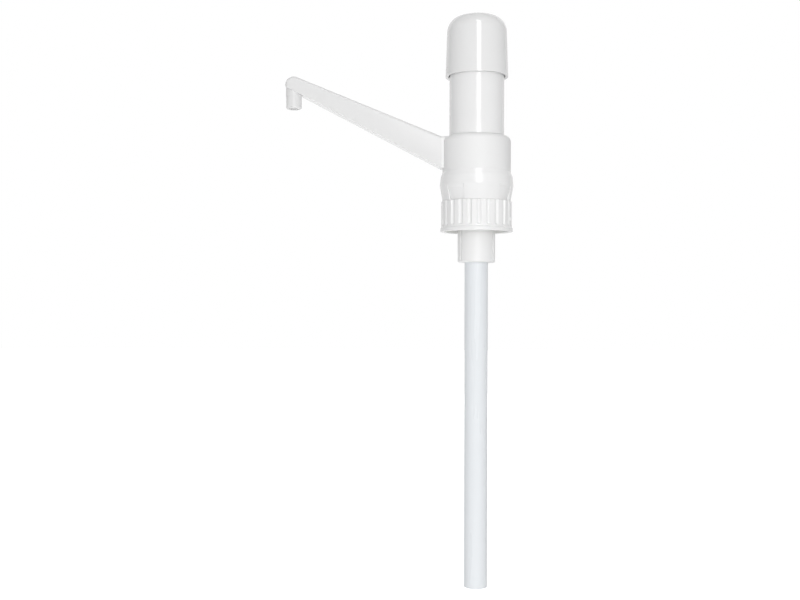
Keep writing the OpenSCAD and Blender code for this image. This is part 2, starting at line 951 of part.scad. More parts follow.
module piston() {
    color(soft_white)
        turned([
            [screw_r, rod_z0],
            [rod_r, rod_z0],
            [rod_r, piston_z1],
            [piston_r, piston_z1],
            [piston_r, piston_groove_z0 + piston_groove_h],
            [piston_groove_r, piston_groove_z0 + piston_groove_h],
            [piston_groove_r, piston_groove_z0],
            [piston_r, piston_groove_z0],
            [piston_r, piston_z0],
            [spring_boss_r, piston_z0],
            [spring_boss_r, piston_z0 - spring_boss_h],
            [screw_head_r, piston_z0 - spring_boss_h],
            [screw_head_r, web_low_z],
            [screw_r, web_low_z]
        ]);
}

module piston_seal() {
    z0 = piston_groove_z0;
    z1 = piston_groove_z0 + piston_groove_h;
    root_r = piston_seal_r - lip_t;
    color(rubber)
        turned([
            [piston_groove_r, z0 + lip_h],
            [root_r - lip_t, z0 + lip_h],
            [root_r, z0],
            [piston_seal_r, z0],
            [piston_seal_r, z0 + lip_h],
            [root_r, z1],
            [piston_groove_r, z1]
        ]);
}

module piston_screw() {
    head_z = web_low_z - screw_head_h;
    shank_h = piston_web + screw_hole_h - screw_tip_gap;
    slot_w = 0.9;
    slot_depth = 1;
    color(steel)
        difference() {
            union() {
                translate([0, 0, head_z])
                    cylinder(h = screw_head_h, r = screw_head_r - slide_gap);
                translate([0, 0, web_low_z - eps])
                    cylinder(h = shank_h + eps, r = screw_r);
            }
            translate([-screw_head_r, -slot_w / 2, head_z - cut])
                cube([2 * screw_head_r, slot_w, slot_depth + cut]);
        }
}

screw_collar();
canister_gasket();
spout_head();
clip_ring();
pump_barrel();
barrel_seal();
rod_guide();
tube_holder();
holder_seal();
valve_cage();
inlet_ball();
dip_tube();
spout_arm();
outlet_seat();
outlet_flap();
return_spring();
press_cap();
plunger_rod();
piston();
piston_seal();
piston_screw();
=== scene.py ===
"""Looks of a canister dispensing pump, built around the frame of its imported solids."""

import json
import math

import bmesh
import bpy
from mathutils import Matrix, Vector

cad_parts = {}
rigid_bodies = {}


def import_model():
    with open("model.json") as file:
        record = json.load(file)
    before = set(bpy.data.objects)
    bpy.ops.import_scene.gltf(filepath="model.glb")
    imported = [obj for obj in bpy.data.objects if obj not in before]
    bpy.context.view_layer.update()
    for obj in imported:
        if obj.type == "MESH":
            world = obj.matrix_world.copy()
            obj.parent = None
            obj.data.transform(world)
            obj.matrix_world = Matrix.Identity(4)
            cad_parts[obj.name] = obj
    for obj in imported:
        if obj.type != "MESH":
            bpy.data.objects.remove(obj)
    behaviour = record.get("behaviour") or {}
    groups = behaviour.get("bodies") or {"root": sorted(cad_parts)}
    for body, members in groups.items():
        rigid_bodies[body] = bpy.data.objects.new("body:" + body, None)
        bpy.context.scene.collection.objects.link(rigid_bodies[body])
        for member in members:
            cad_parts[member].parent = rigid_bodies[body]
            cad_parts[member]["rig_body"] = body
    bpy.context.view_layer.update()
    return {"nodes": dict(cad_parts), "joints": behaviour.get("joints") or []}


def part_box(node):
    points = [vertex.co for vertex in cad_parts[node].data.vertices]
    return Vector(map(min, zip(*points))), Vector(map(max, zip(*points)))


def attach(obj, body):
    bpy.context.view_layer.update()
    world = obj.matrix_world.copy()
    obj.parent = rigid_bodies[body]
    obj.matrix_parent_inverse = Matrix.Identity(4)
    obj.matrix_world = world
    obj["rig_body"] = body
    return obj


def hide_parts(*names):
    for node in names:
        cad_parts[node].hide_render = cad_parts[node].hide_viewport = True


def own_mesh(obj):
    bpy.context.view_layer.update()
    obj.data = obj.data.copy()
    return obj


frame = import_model()

# Sizes are in millimetres and angles in degrees; meshes and lamps are written in metres.
MM = 0.001
SPOUT_TURN = 180

# Fineness of every mesh; sides, steps and runs of one piece stand with its sizes
ARC_STEP = 9
SHARP_ANGLE = 32
WELD = 1e-4

# Part of a noise pattern's range that is spread over a surface
PATTERN_LOW = 0.3
PATTERN_HIGH = 0.7

# Refraction of the plastics
PLASTIC_IOR = 1.49


def span(node):
    """Lowest and highest corner of a CAD node, in millimetres."""
    low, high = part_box(node)
    return low / MM, high / MM


collar_low, collar_high = span("screw_collar")
holder_low, holder_high = span("tube_holder")
tube_low, tube_high = span("dip_tube")
head_low, head_high = span("spout_head")
ring_low, ring_high = span("clip_ring")
barrel_low, barrel_high = span("pump_barrel")
cap_low, cap_high = span("press_cap")
_, rod_high = span("plunger_rod")
_, guide_high = span("rod_guide")
arm_low, _ = span("spout_arm")
seat_low, seat_high = span("outlet_seat")
_, flap_high = span("outlet_flap")
spring_low, spring_high = span("return_spring")
press = next(joint for joint in frame["joints"] if joint["name"] == "cap_press")
stroke = press["range_m"][1] / MM

# Clearances, the radius of soft edges, and how far a cutting shape reaches past what it cuts
plug_gap = 0.1
run_gap = 0.35
soft_edge = 0.3
cut = 1

# Screw collar
snap_h = 5.4
snap_wall = 1.8
snap_bead = 0.8
flange_h = 3
flange_step = 0.75
flange_drop = 0.15
flange_lift = 0.6
collar_round = 0.5
web_t = 1.7
flutes = 24
flute_r = 1.8
flute_depth = 1.2
flute_run_out = 1.6
flute_blend = 0.25
flute_sides = 16
collar_run = 0.45
thread_r = 25.75
thread_ridge = 1.6
thread_root_w = 3
thread_crest_w = 1.2
thread_pitch = 5
thread_turns = 2.5
thread_lead_in = 1.1
thread_fade = 20
collar_z0 = collar_low.z
collar_z1 = collar_high.z - snap_h
flange_r = collar_high.x
rib_r = flange_r - flange_step
flange_z = collar_z0 + flange_h
web_z0 = collar_z1 - web_t

# Tube holder
holder_flange_r = holder_high.x
holder_flange_t = 2.2
spigot_r = 17.5
neck_r = 15.15
neck_groove_depth = 2
neck_groove_w = 1.4
neck_groove_blend = 0.3
neck_groove_turn = 33
neck_groove_pair = 2
neck_sides = 720
foot_band_h = 1.6
foot_round = 1.2
seal_groove = 1.3
seal_groove_w = 2.2
holder_seal_drop = 9.4
ball_chamber_r = 8.6
inlet_r = 4.5
passage_r = 6.5
seat_wall = 3
holder_z1 = holder_high.z
neck_z0 = holder_low.z
holder_flange_z1 = collar_z1 - web_t - run_gap
holder_flange_z0 = holder_flange_z1 - holder_flange_t
tube_r = tube_high.x
tube_z1 = tube_high.z
ball_low, ball_high = span("inlet_ball")
ball_r = ball_high.x
ball_gap = 0.2
seat_z = ball_low.z + ball_r + inlet_r - (ball_r + ball_gap) * math.sqrt(2)

# Spout head
head_r = head_high.x
head_z1 = head_high.z
barrel_z0 = barrel_low.z
socket_r = barrel_high.x + plug_gap
shoulder_r = 5
chamber_r = 19.5
chamber_wall = 2.8
socket_floor_t = 3
ring_seat_step = 1.6
ring_seat_wall = 2
ring_seat_h = 8.5
head_base_r = chamber_r + chamber_wall
ring_seat_r = head_r - ring_seat_step
snap_r = head_base_r + run_gap + snap_wall
head_sides = 144
head_run = 0.3
port_r = 3.2
port_sides = 48
port_z = barrel_z0 - run_gap - port_r

# Clip ring
ring_z0 = ring_low.z
ring_z1 = ring_high.z
ring_r = ring_high.x
ring_top_r = 29.1
ring_foot_r = 27.45
ring_top_h = 5.5
ring_bend_r = 8
ring_sides = 144
ring_run = 0.25
flare_steps = 12
panel_h = 12.3
panel_angle = 31
panel_turn = 50
panel_ledge = 0.2
panel_depth = 1.8
panel_blend = 0.3
panel_slit = 0.3
panel_slit_round = panel_slit / 6
panel_zone = 1.5
panel_step = 0.2
panels = 4
panel_fade = panel_h / 4
panel_z1 = ring_z0 + panel_h

# Press cap
cap_z0 = cap_low.z
cap_z1 = cap_high.z
cap_rim_r = cap_high.x
cap_top_r = 24.2
cap_wall = 1.5
cap_lip = 0.9
cap_lip_h = 2
cap_edge_r = 0.2
cap_hollow = 0.4
cap_corner_r = 13
cap_crown_r = 110
cap_boss_wall = 3
cap_sides = 192
crown_steps = 10
corner_steps = 28
inner_corner_steps = 20
inner_crown_steps = 4
crown_z = cap_z1 - cap_crown_r
corner_x = cap_top_r - cap_corner_r
corner_z = crown_z + math.sqrt((cap_crown_r - cap_corner_r) ** 2 - corner_x**2)
corner_angle = math.degrees(math.atan2(corner_z - crown_z, corner_x))
cap_boss_z0 = guide_high.z + stroke + run_gap

# Spout arm, measured outward from the axis along the spout
boss_x = -head_low.x
boss_lip = 0.15
boss_blend = 0.3
boss_round = 0.4
boss_margin = 1
boss_zone = 17
boss_step = 0.25
arm_w = 14
arm_edge_r = 2.5
arm_low_edge_r = 0.5
arm_end_r = 6.8
arm_edge_steps = 9
arm_end_steps = 28
arm_wall = 1.8
arm_lift = 2.2
arm_root_h = 25.7
arm_tip_h = 12.2
arm_rise = 62
arm_reach = 148
nozzle_r = 6.25
nozzle_root_r = 6.45
nozzle_round = 1.5
nozzle_free = 10.2
nozzle_h = 14.1
nozzle_sides = 96
nozzle_bore_r = 4.3
nozzle_lip = 0.6
bore_sides = 64
channel_w = 8.8
spigot_wall = 1.3
arm_spigot_round = 2
arm_z0 = ring_z1 + arm_lift
arm_z1 = arm_z0 + arm_root_h
under_slope = arm_rise / (arm_reach - boss_x)
top_slope = (arm_rise + arm_tip_h - arm_root_h) / (arm_reach - boss_x)
under_slant = math.hypot(1, under_slope)
top_slant = math.hypot(1, top_slope)
end_x = -arm_low.x - arm_end_r
end_z = arm_z1 + (end_x - boss_x) * top_slope - arm_end_r * top_slant
nozzle_z0 = arm_z0 + arm_rise - nozzle_h
arm_spigot_z0 = seat_low.z
arm_spigot_z1 = seat_high.z
arm_spigot_hw = seat_high.y
socket_x = -seat_high.x
plate_x = -seat_low.x
bead_r = 1
bead_sides = 24
bead_z = flap_high.z - bead_r
bead_hw = flap_high.y

# Return spring
wire_r = 0.9
coil_r = spring_high.x - wire_r
coils = 10
coil_room = 0.6
coil_steps = 48
wire_sides = 16

# Camera, placed so that the pump's edges fall where the photo has them
camera_place = Vector((-61.7, -850.5, -73.4))
camera_roll = -0.17
focal_length = 47.25
sensor_w = 36

# Floor, far larger than the picture
floor_reach = 4000


def arc(x, z, r, start, end, steps):
    """Points of an arc from one angle to another."""
    turns = [math.radians(start + (end - start) * i / steps) for i in range(steps + 1)]
    return [(x + r * math.cos(a), z + r * math.sin(a)) for a in turns]


def rounded(corners):
    """Outline points of corners (r, z, radius), each rounded by its own radius."""
    points = []
    for i, (r, z, radius) in enumerate(corners):
        here = Vector((r, z))
        if not radius:
            points.append((r, z))
            continue
        back = (Vector(corners[i - 1][:2]) - here).normalized()
        ahead = (Vector(corners[(i + 1) % len(corners)][:2]) - here).normalized()
        turn = math.pi - back.angle(ahead)
        centre = here + (back + ahead).normalized() * radius / math.cos(turn / 2)
        spoke = here + back * radius * math.tan(turn / 2) - centre
        side = 1 if back.x * ahead.y - back.y * ahead.x < 0 else -1
        steps = max(2, math.ceil(math.degrees(turn) / ARC_STEP))
        for k in range(steps + 1):
            a = side * turn * k / steps
            c, s = math.cos(a), math.sin(a)
            points.append((centre.x + spoke.x * c - spoke.y * s, centre.y + spoke.x * s + spoke.y * c))
    return points


def finer(points, longest, least_r):
    """The outline with its runs outside a radius split into short lengths."""
    result = []
    for (r0, z0), (r1, z1) in zip(points, points[1:] + points[:1]):
        near = min(r0, r1) >= least_r
        count = max(1, math.ceil(math.hypot(r1 - r0, z1 - z0) / longest)) if near else 1
        for k in range(count):
            result.append((r0 + (r1 - r0) * k / count, z0 + (z1 - z0) * k / count))
    return result


def even(count):
    """Angles spread evenly round the axis."""
    return [360 * k / count for k in range(count)]


def denser(angles, centre, reach, step):
    """The angles with a closer spread within reach of a centre."""
    count = round(2 * reach / step)
    extra = [(centre - reach + step * k) % 360 for k in range(count + 1)]
    far = [a for a in angles if abs(away(a, centre)) > reach + step / 2]
    return sorted(far + extra)


def smooth(value):
    """A value from 0 to 1 eased at both ends."""
    value = min(1, max(0, value))
    return value * value * (3 - 2 * value)


def smaller(a, b, blend):
    """The smaller of two values, with the change from one to the other rounded off."""
    share = min(1, max(0, 0.5 + 0.5 * (b - a) / blend))
    return b + (a - b) * share - blend * share * (1 - share)


def away(angle, centre):
    """Signed difference of two angles."""
    return (angle - centre + 180) % 360 - 180


def from_nearest(angle, count, turn):
    """Angle to the nearest of a number of places spread round the axis, one of them at turn."""
    return abs(away((angle - turn) * count, 0)) / count


def as_object(name, bm):
    """A smooth-shaded object made from a finished mesh in millimetres."""
    bmesh.ops.remove_doubles(bm, verts=bm.verts, dist=WELD)
    bmesh.ops.recalc_face_normals(bm, faces=bm.faces)
    bm.transform(Matrix.Scale(MM, 4))
    mesh = bpy.data.meshes.new(name)
    bm.to_mesh(mesh)
    bm.free()
    mesh.shade_smooth()
    mesh.set_sharp_from_angle(angle=math.radians(SHARP_ANGLE))
    piece = bpy.data.objects.new(name, mesh)
    bpy.context.scene.collection.objects.link(piece)
    return piece


def turned(name, outline, angles, shape=None, axis_x=0):
    """A skin turned about an upright axis; shape(angle, r, z) may move a point in or out."""
    bm = bmesh.new()
    rings = []
    for r, z in outline:
        ring = []
        for angle in angles if r > 0 else [0]:
            reach = shape(angle, r, z) if shape else r
            a = math.radians(angle)
            ring.append(bm.verts.new((axis_x + reach * math.cos(a), reach * math.sin(a), z)))
        rings.append(ring)
    closed = outline[0][0] > 0 and outline[-1][0] > 0
    for low, high in zip(rings, rings[1:] + (rings[:1] if closed else [])):
        for k in range(len(angles)):
            n = (k + 1) % len(angles)
            around = [low[k % len(low)], low[n % len(low)], high[n % len(high)], high[k % len(high)]]
            bm.faces.new(list(dict.fromkeys(around)))
    return as_object(name, bm)


def lofted(name, rings):
    """A solid through rings of points, with flat ends."""
    bm = bmesh.new()
    rows = [[bm.verts.new(point) for point in ring] for ring in rings]
    for low, high in zip(rows, rows[1:]):
        for k in range(len(low)):
            n = (k + 1) % len(low)
            bm.faces.new([low[k], low[n], high[n], high[k]])
    bm.faces.new(rows[0])
    bm.faces.new(rows[-1])
    return as_object(name, bm)


def slab(name, outline, half_w):
    """An outline in the spout's plane, x counted outward, as thick as twice a half width."""
    return lofted(name, [[(-x, y, z) for x, z in outline] for y in (-half_w, half_w)])


def bar(name, x0, x1, half_w, z0, z1, r):
    """A bar along the spout whose section has round corners."""
    section = rounded([(-half_w, z0, r), (half_w, z0, r), (half_w, z1, r), (-half_w, z1, r)])
    return lofted(name, [[(-x, y, z) for y, z in section] for x in (x0, x1)])


def combine(piece, operation, *tools):
    """Joins tools to a piece or cuts them out of it, and deletes the tools."""
    for tool in tools:
        modifier = piece.modifiers.new(operation.lower(), "BOOLEAN")
        modifier.operation = operation
        modifier.solver = "EXACT"
        modifier.object = tool
    shape = bpy.data.meshes.new_from_object(piece.evaluated_get(bpy.context.evaluated_depsgraph_get()))
    piece.modifiers.clear()
    piece.data = shape
    for tool in tools:
        bpy.data.objects.remove(tool)
    shape.shade_smooth()
    shape.set_sharp_from_angle(angle=math.radians(SHARP_ANGLE))


def dress(piece, node, material):
    """Puts a piece in the place of a CAD node, on the node's own body."""
    piece.data.materials.clear()
    piece.data.materials.append(material)
    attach(piece, frame["nodes"][node]["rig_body"])
    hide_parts(node)


def make_collar():
    """Ribbed collar with its foot flange, snap ring and inside thread."""
    web_r = spigot_r + run_gap
    snap_z1 = collar_z1 + snap_h
    snap_in = snap_r - snap_wall
    skin_r = rib_r - flute_depth - collar_round
    outline = rounded([
        (web_r, web_z0, soft_edge),
        (web_r, collar_z1, soft_edge),
        (snap_in, collar_z1, soft_edge),
        (snap_in, snap_z1, soft_edge),
        (snap_r, snap_z1, soft_edge),
        (snap_r + snap_bead, snap_z1 - snap_bead, soft_edge),
        (snap_r + snap_bead, snap_z1 - 2 * snap_bead, soft_edge),
        (snap_r, snap_z1 - 3 * snap_bead, soft_edge),
        (snap_r, collar_z1, soft_edge),
        (rib_r, collar_z1, collar_round),
        (rib_r, flange_z + flange_lift, 2 * soft_edge),
        (flange_r, flange_z - flange_drop, 2 * soft_edge),
        (flange_r, collar_z0, 2 * soft_edge),
        (thread_r, collar_z0, 2 * soft_edge),
        (thread_r, web_z0, soft_edge),
    ])
    flute_x = rib_r + flute_r - flute_depth
    flute_z = flange_z + flute_run_out + flute_r
    helix_z = collar_z0 + thread_lead_in + thread_root_w / 2
    flank = (thread_root_w - thread_crest_w) / 2

    def fluted(angle, r, z):
        across = r * math.sin(math.radians(from_nearest(angle, flutes, 0)))
        below = max(0, flute_z - z)
        inside = flute_r**2 - across**2 - below**2
        return smaller(r, flute_x - math.sqrt(inside), flute_blend) if inside > 0 else r

    def threaded(angle, r, z):
        height = 0
        for turn in range(math.ceil(thread_turns)):
            along = angle + 360 * turn
            ends = smooth(along / thread_fade) * smooth((360 * thread_turns - along) / thread_fade)
            off = abs(z - helix_z - thread_pitch * along / 360)
            height = max(height, ends * smooth((thread_root_w / 2 - off) / flank))
        return r - thread_ridge * height

    def shape(angle, r, z):
        if r > skin_r and z > flange_z + flange_lift / 2:
            return fluted(angle, r, z)
        on_bore = abs(r - thread_r) < soft_edge and z < web_z0 - soft_edge
        return threaded(angle, r, z) if on_bore else r

    return turned("collar_nut", finer(outline, collar_run, skin_r), even(flute_sides * flutes), shape)


def make_holder():
    """Grooved neck with its flange, spigot and valve seat."""
    groove_end = neck_z0 + foot_band_h
    groove_z = holder_z1 - holder_seal_drop
    socket = tube_r + plug_gap
    outline = rounded([
        (socket, neck_z0, soft_edge),
        (socket, tube_z1, 0),
        (passage_r, tube_z1, soft_edge),
        (passage_r, seat_z - seat_wall, soft_edge),
        (inlet_r, seat_z - seat_wall + passage_r - inlet_r, soft_edge),
        (inlet_r, seat_z, soft_edge),
        (ball_chamber_r, seat_z + ball_chamber_r - inlet_r, soft_edge),
        (ball_chamber_r, holder_z1, soft_edge),
        (spigot_r, holder_z1, soft_edge),
        (spigot_r, groove_z + seal_groove_w / 2, 0),
        (spigot_r - seal_groove, groove_z + seal_groove_w / 2, 0),
        (spigot_r - seal_groove, groove_z - seal_groove_w / 2, 0),
        (spigot_r, groove_z - seal_groove_w / 2, 0),
        (spigot_r, holder_flange_z1, soft_edge),
        (holder_flange_r, holder_flange_z1, soft_edge),
        (holder_flange_r, holder_flange_z0, soft_edge),
        (neck_r, holder_flange_z0, 0),
        (neck_r, groove_end + neck_groove_blend, 0),
        (neck_r, groove_end, 0),
        (neck_r, neck_z0, foot_round),
    ])

    def shape(angle, r, z):
        if abs(r - neck_r) > soft_edge or z > holder_flange_z0:
            return r
        turns = (neck_groove_turn, -neck_groove_turn)
        off = min(from_nearest(angle, neck_groove_pair, turn) for turn in turns)
        inside = neck_groove_w / 2 - neck_r * math.radians(off)
        depth = neck_groove_depth * smooth((z - groove_end) / neck_groove_blend)
        return r - depth * smooth(0.5 + inside / neck_groove_blend)

    return turned("tube_holder_neck", outline, even(neck_sides), shape)


def make_head():
    """Round head with its shoulder, its boss for the arm and the passages inside."""
    cavity_r = ring_seat_r - ring_seat_wall
    cavity_z1 = barrel_z0 - socket_floor_t
    spigot_room = spigot_r + plug_gap
    outline = rounded([
        (chamber_r, barrel_z0, soft_edge),
        (socket_r, barrel_z0, 0),
        (socket_r, head_z1, soft_edge),
        (head_r, head_z1, shoulder_r - soft_edge),
        (head_r, ring_z1, soft_edge / 4),
        (ring_seat_r, ring_z1, 0),
        (ring_seat_r, ring_z1 - ring_seat_h, soft_edge),
        (cavity_r, ring_z1 - ring_seat_h, soft_edge),
        (cavity_r, cavity_z1, 2 * soft_edge),
        (head_base_r, cavity_z1, 2 * soft_edge),
        (head_base_r, collar_z1, soft_edge),
        (spigot_room, collar_z1, soft_edge),
        (spigot_room, holder_z1, 0),
        (chamber_r, holder_z1, 0),
    ])
    half_w = arm_w / 2 + boss_lip
    boss_z0 = arm_z0 - boss_lip
    boss_z1 = arm_z1 + boss_lip
    skin_r = cavity_r + boss_margin

    def shape(angle, r, z):
        turn = away(angle, SPOUT_TURN)
        if r < skin_r or not boss_z0 - boss_margin <= z <= boss_z1 + boss_margin or abs(turn) > boss_zone:
            return r
        y = abs(boss_x * math.tan(math.radians(turn)))
        out_y = y - half_w + arm_edge_r
        out_z = abs(z - (boss_z0 + boss_z1) / 2) - (boss_z1 - boss_z0) / 2 + arm_edge_r
        corner = math.hypot(max(0, out_y), max(0, out_z)) + min(0, max(out_y, out_z))
        inside = arm_edge_r - corner
        curve = max(0, boss_round - max(0, inside))
        drop = boss_round - math.sqrt(boss_round**2 - curve**2)
        face = (boss_x - drop) / math.cos(math.radians(turn))
        return r + max(0, face - r) * smooth(0.5 + inside / boss_blend)

    angles = denser(even(head_sides), SPOUT_TURN, boss_zone, boss_step)
    piece = turned("spout_head_shell", finer(outline, head_run, skin_r), angles, shape)
    socket = bar(
        "socket", socket_x, boss_x + cut, arm_spigot_hw + plug_gap, arm_spigot_z0 - plug_gap,
        arm_spigot_z1 + plug_gap, arm_spigot_round + plug_gap,
    )
    port = turned("port", [
        (0, chamber_r - cut),
        (port_r, chamber_r - cut),
        (port_r, socket_x + cut),
        (0, socket_x + cut),
    ], even(port_sides))
    port.data.transform(Matrix.Translation((0, 0, port_z * MM)) @ Matrix.Rotation(-math.pi / 2, 4, "Y"))
    combine(piece, "DIFFERENCE", socket, port)
    return piece


def make_ring():
    """Flared clip ring with four set-back spring panels and its hook inside."""
    hook_r = snap_r + run_gap
    inner_r = snap_r + snap_bead + run_gap
    hook_z1 = collar_z1 + snap_h - 3 * snap_bead - run_gap
    foot_z = collar_z1 + plug_gap
    slit_z1 = panel_z1 - panel_slit
    seat_r = ring_seat_r + plug_gap
    seat_z1 = ring_z1 - ring_seat_h - run_gap
    flare = []
    for i in range(flare_steps + 1):
        share = i / flare_steps
        flare.append((head_r + (ring_top_r - head_r) * smooth(share), ring_z1 - ring_top_h * share, 0))
    outline = rounded([
        (hook_r, foot_z, soft_edge),
        (hook_r, hook_z1, soft_edge),
        (inner_r, hook_z1 + snap_bead, soft_edge),
        (inner_r, seat_z1, soft_edge),
        (seat_r, seat_z1, 0),
        (seat_r, ring_z1, 0),
        *flare,
        (ring_r, panel_z1, ring_bend_r),
        (ring_foot_r, foot_z, soft_edge),
    ])
    skin_r = ring_foot_r - 2 * soft_edge

    def shape(angle, r, z):
        if r < skin_r or z > panel_z1:
            return r
        inside = r * math.radians(panel_angle / 2 - from_nearest(angle, panels, panel_turn))
        slope = (panel_depth - panel_ledge) / panel_h
        depth = (panel_ledge + slope * (panel_z1 - z)) * smooth((panel_z1 - z) / panel_fade)
        return r - depth * smooth(0.5 + inside / panel_blend)

    middles = [panel_turn + turn for turn in even(panels)]
    edges = [turn + side * panel_angle / 2 for turn in middles for side in (-1, 1)]
    angles = even(ring_sides)
    for edge in edges:
        angles = denser(angles, edge % 360, panel_zone, panel_step)
    piece = turned("clip_ring_shell", finer(outline, ring_run, skin_r), angles, shape)
    slits = []
    for edge in edges:
        slit = bar(
            "slit", hook_r - cut, ring_r + cut, panel_slit / 2, foot_z - cut, slit_z1, panel_slit_round
        )
        slit.data.transform(Matrix.Rotation(math.radians(edge + SPOUT_TURN), 4, "Z"))
        slits.append(slit)
    combine(piece, "DIFFERENCE", *slits)
    return piece


def make_cap():
    """Domed push cap, a thin shell with a boss inside for the rod."""
    boss_r = rod_high.x + cap_boss_wall
    lip_r = cap_rim_r - cap_wall - cap_lip
    inner_crown_r = cap_crown_r - cap_wall
    inner_corner_r = cap_corner_r - cap_wall
    boss_angle = math.degrees(math.acos(boss_r / inner_crown_r))
    outside = arc(0, crown_z, cap_crown_r, 90, corner_angle, crown_steps)[:-1]
    outside += arc(corner_x, corner_z, cap_corner_r, corner_angle, 0, corner_steps)
    inside = arc(corner_x, corner_z, inner_corner_r, 0, corner_angle, inner_corner_steps)
    inside += arc(0, crown_z, inner_crown_r, corner_angle, boss_angle, inner_crown_steps)[1:]
    outline = rounded(
        [(0, cap_z1, 0)]
        + [(r, z, 0) for r, z in outside[1:]]
        + [
            (cap_rim_r, cap_z0, cap_edge_r),
            (lip_r, cap_z0 + cap_hollow, soft_edge),
            (lip_r, cap_z0 + cap_lip_h, soft_edge),
            (lip_r + cap_lip, cap_z0 + cap_lip_h + cap_lip, soft_edge),
        ]
        + [(r, z, 0) for r, z in inside]
        + [
            (boss_r, cap_boss_z0, soft_edge),
            (rod_high.x, cap_boss_z0, soft_edge),
            (rod_high.x, rod_high.z, 0),
            (0, rod_high.z, 0),
        ]
    )
    return turned("press_cap_shell", outline, even(cap_sides))


def arm_side(inset, low_inset):
    """Outline of the arm seen from the side, drawn in at the top and end and raised at the underside."""
    under = arm_z0 + low_inset * under_slant
    across = (end_z - under - (end_x - boss_x) * under_slope) / under_slant
    radius = arm_end_r - inset
    along = math.sqrt(radius**2 - across**2)
    start = math.degrees(math.atan2(-across, along)) + math.degrees(math.atan(under_slope))
    tangent = 90 + math.degrees(math.atan(top_slope))
    end = arc(end_x, end_z, radius, start, tangent, arm_end_steps)
    root_top = arm_z1 - inset * top_slant
    return [(boss_x, under)] + end + [(boss_x, root_top)]


def make_arm():
    """Sloping arm with rounded upper edges, its nozzle, its plug and the passage inside."""
    half_w = arm_w / 2
    layers = []
    for k in range(arm_edge_steps + 1):
        a = math.radians(90 * k / arm_edge_steps)
        y = half_w - arm_edge_r + arm_edge_r * math.sin(a)
        low = max(0, y - half_w + arm_low_edge_r)
        low_inset = arm_low_edge_r - math.sqrt(arm_low_edge_r**2 - low**2)
        layers.append((y, arm_side(arm_edge_r * (1 - math.cos(a)), low_inset)))
    layers = [(-y, side) for y, side in reversed(layers)] + layers
    piece = lofted("spout_arm_shell", [[(-x, y, z) for x, z in side] for y, side in layers])

    nozzle = turned("nozzle", rounded([
        (0, nozzle_z0, 0),
        (nozzle_r, nozzle_z0, nozzle_round),
        (nozzle_r, nozzle_z0 + nozzle_free, 0),
        (nozzle_root_r, nozzle_z0 + nozzle_free, 0),
        (nozzle_root_r, end_z, 0),
        (0, end_z, 0),
    ]), even(nozzle_sides), axis_x=-arm_reach)
    plug = bar(
        "plug", plate_x, boss_x + cut, arm_spigot_hw, arm_spigot_z0, arm_spigot_z1, arm_spigot_round
    )
    combine(piece, "UNION", nozzle, plug)

    start_x = boss_x + arm_wall
    low_wall = arm_wall * under_slant
    top_wall = arm_wall * top_slant
    low_z = arm_z0 + low_wall
    top_z = arm_z1 - top_wall
    channel_z0 = arm_spigot_z0 + spigot_wall
    channel_z1 = arm_spigot_z1 - spigot_wall
    channel = slab("channel", [
        (plate_x - cut, channel_z0),
        (start_x, channel_z0),
        (start_x, low_z + arm_wall * under_slope),
        (end_x, low_z + (end_x - boss_x) * under_slope),
        (end_x, top_z + (end_x - boss_x) * top_slope),
        (start_x, top_z + arm_wall * top_slope),
        (start_x, channel_z1),
        (plate_x - cut, channel_z1),
    ], channel_w / 2)
    bore = turned("bore", [
        (0, nozzle_z0 - cut),
        (nozzle_bore_r + nozzle_lip + cut, nozzle_z0 - cut),
        (nozzle_bore_r, nozzle_z0 + nozzle_lip),
        (nozzle_bore_r, end_z),
        (0, end_z),
    ], even(bore_sides), axis_x=-arm_reach)
    last_turn = even(bead_sides)[-1]
    bead_room = arc(plate_x, bead_z, bead_r + plug_gap, 0, last_turn, bead_sides - 1)
    groove = slab("groove", bead_room, bead_hw + plug_gap)
    combine(piece, "DIFFERENCE", channel, bore, groove)
    return piece


def make_spring():
    """Coil spring of round wire with close end coils."""
    end_pitch = 2 * wire_r + coil_room
    rise = spring_high.z - spring_low.z - 2 * wire_r - 2 * end_pitch
    rings = []
    for i in range(coils * coil_steps + 1):
        turn = i / coil_steps
        body = max(0, min(coils - 2, turn - 1))
        ends = min(1, turn) + max(0, turn - coils + 1)
        z = spring_low.z + wire_r + end_pitch * ends + rise * body / (coils - 2)
        a = 2 * math.pi * turn
        ring = []
        for k in range(wire_sides):
            b = 2 * math.pi * k / wire_sides
            reach = coil_r + wire_r * math.cos(b)
            ring.append((reach * math.cos(a), reach * math.sin(a), z + wire_r * math.sin(b)))
        rings.append(ring)
    return lofted("return_spring_coil", rings)


def node_tree(material):
    """The nodes of a material, its links, and its main shader."""
    material.use_nodes = True
    tree = material.node_tree
    return tree.nodes, tree.links, tree.nodes["Principled BSDF"]


def noise(nodes, links, scale, detail, stretch=None):
    """A noise pattern fixed to the piece, with its scale in waves a metre."""
    place = nodes.new("ShaderNodeTexCoord")
    pattern = nodes.new("ShaderNodeTexNoise")
    pattern.inputs["Scale"].default_value = scale
    pattern.inputs["Detail"].default_value = detail
    if stretch:
        mapping = nodes.new("ShaderNodeMapping")
        mapping.inputs["Scale"].default_value = stretch
        links.new(place.outputs["Object"], mapping.inputs["Vector"])
        links.new(mapping.outputs["Vector"], pattern.inputs["Vector"])
    else:
        links.new(place.outputs["Object"], pattern.inputs["Vector"])
    return pattern.outputs["Fac"]


def between(nodes, links, value, low, high):
    """A pattern spread from its middle range onto new limits."""
    spread = nodes.new("ShaderNodeMapRange")
    spread.inputs["From Min"].default_value = PATTERN_LOW
    spread.inputs["From Max"].default_value = PATTERN_HIGH
    spread.inputs["To Min"].default_value = low
    spread.inputs["To Max"].default_value = high
    links.new(value, spread.inputs["Value"])
    return spread.outputs["Result"]


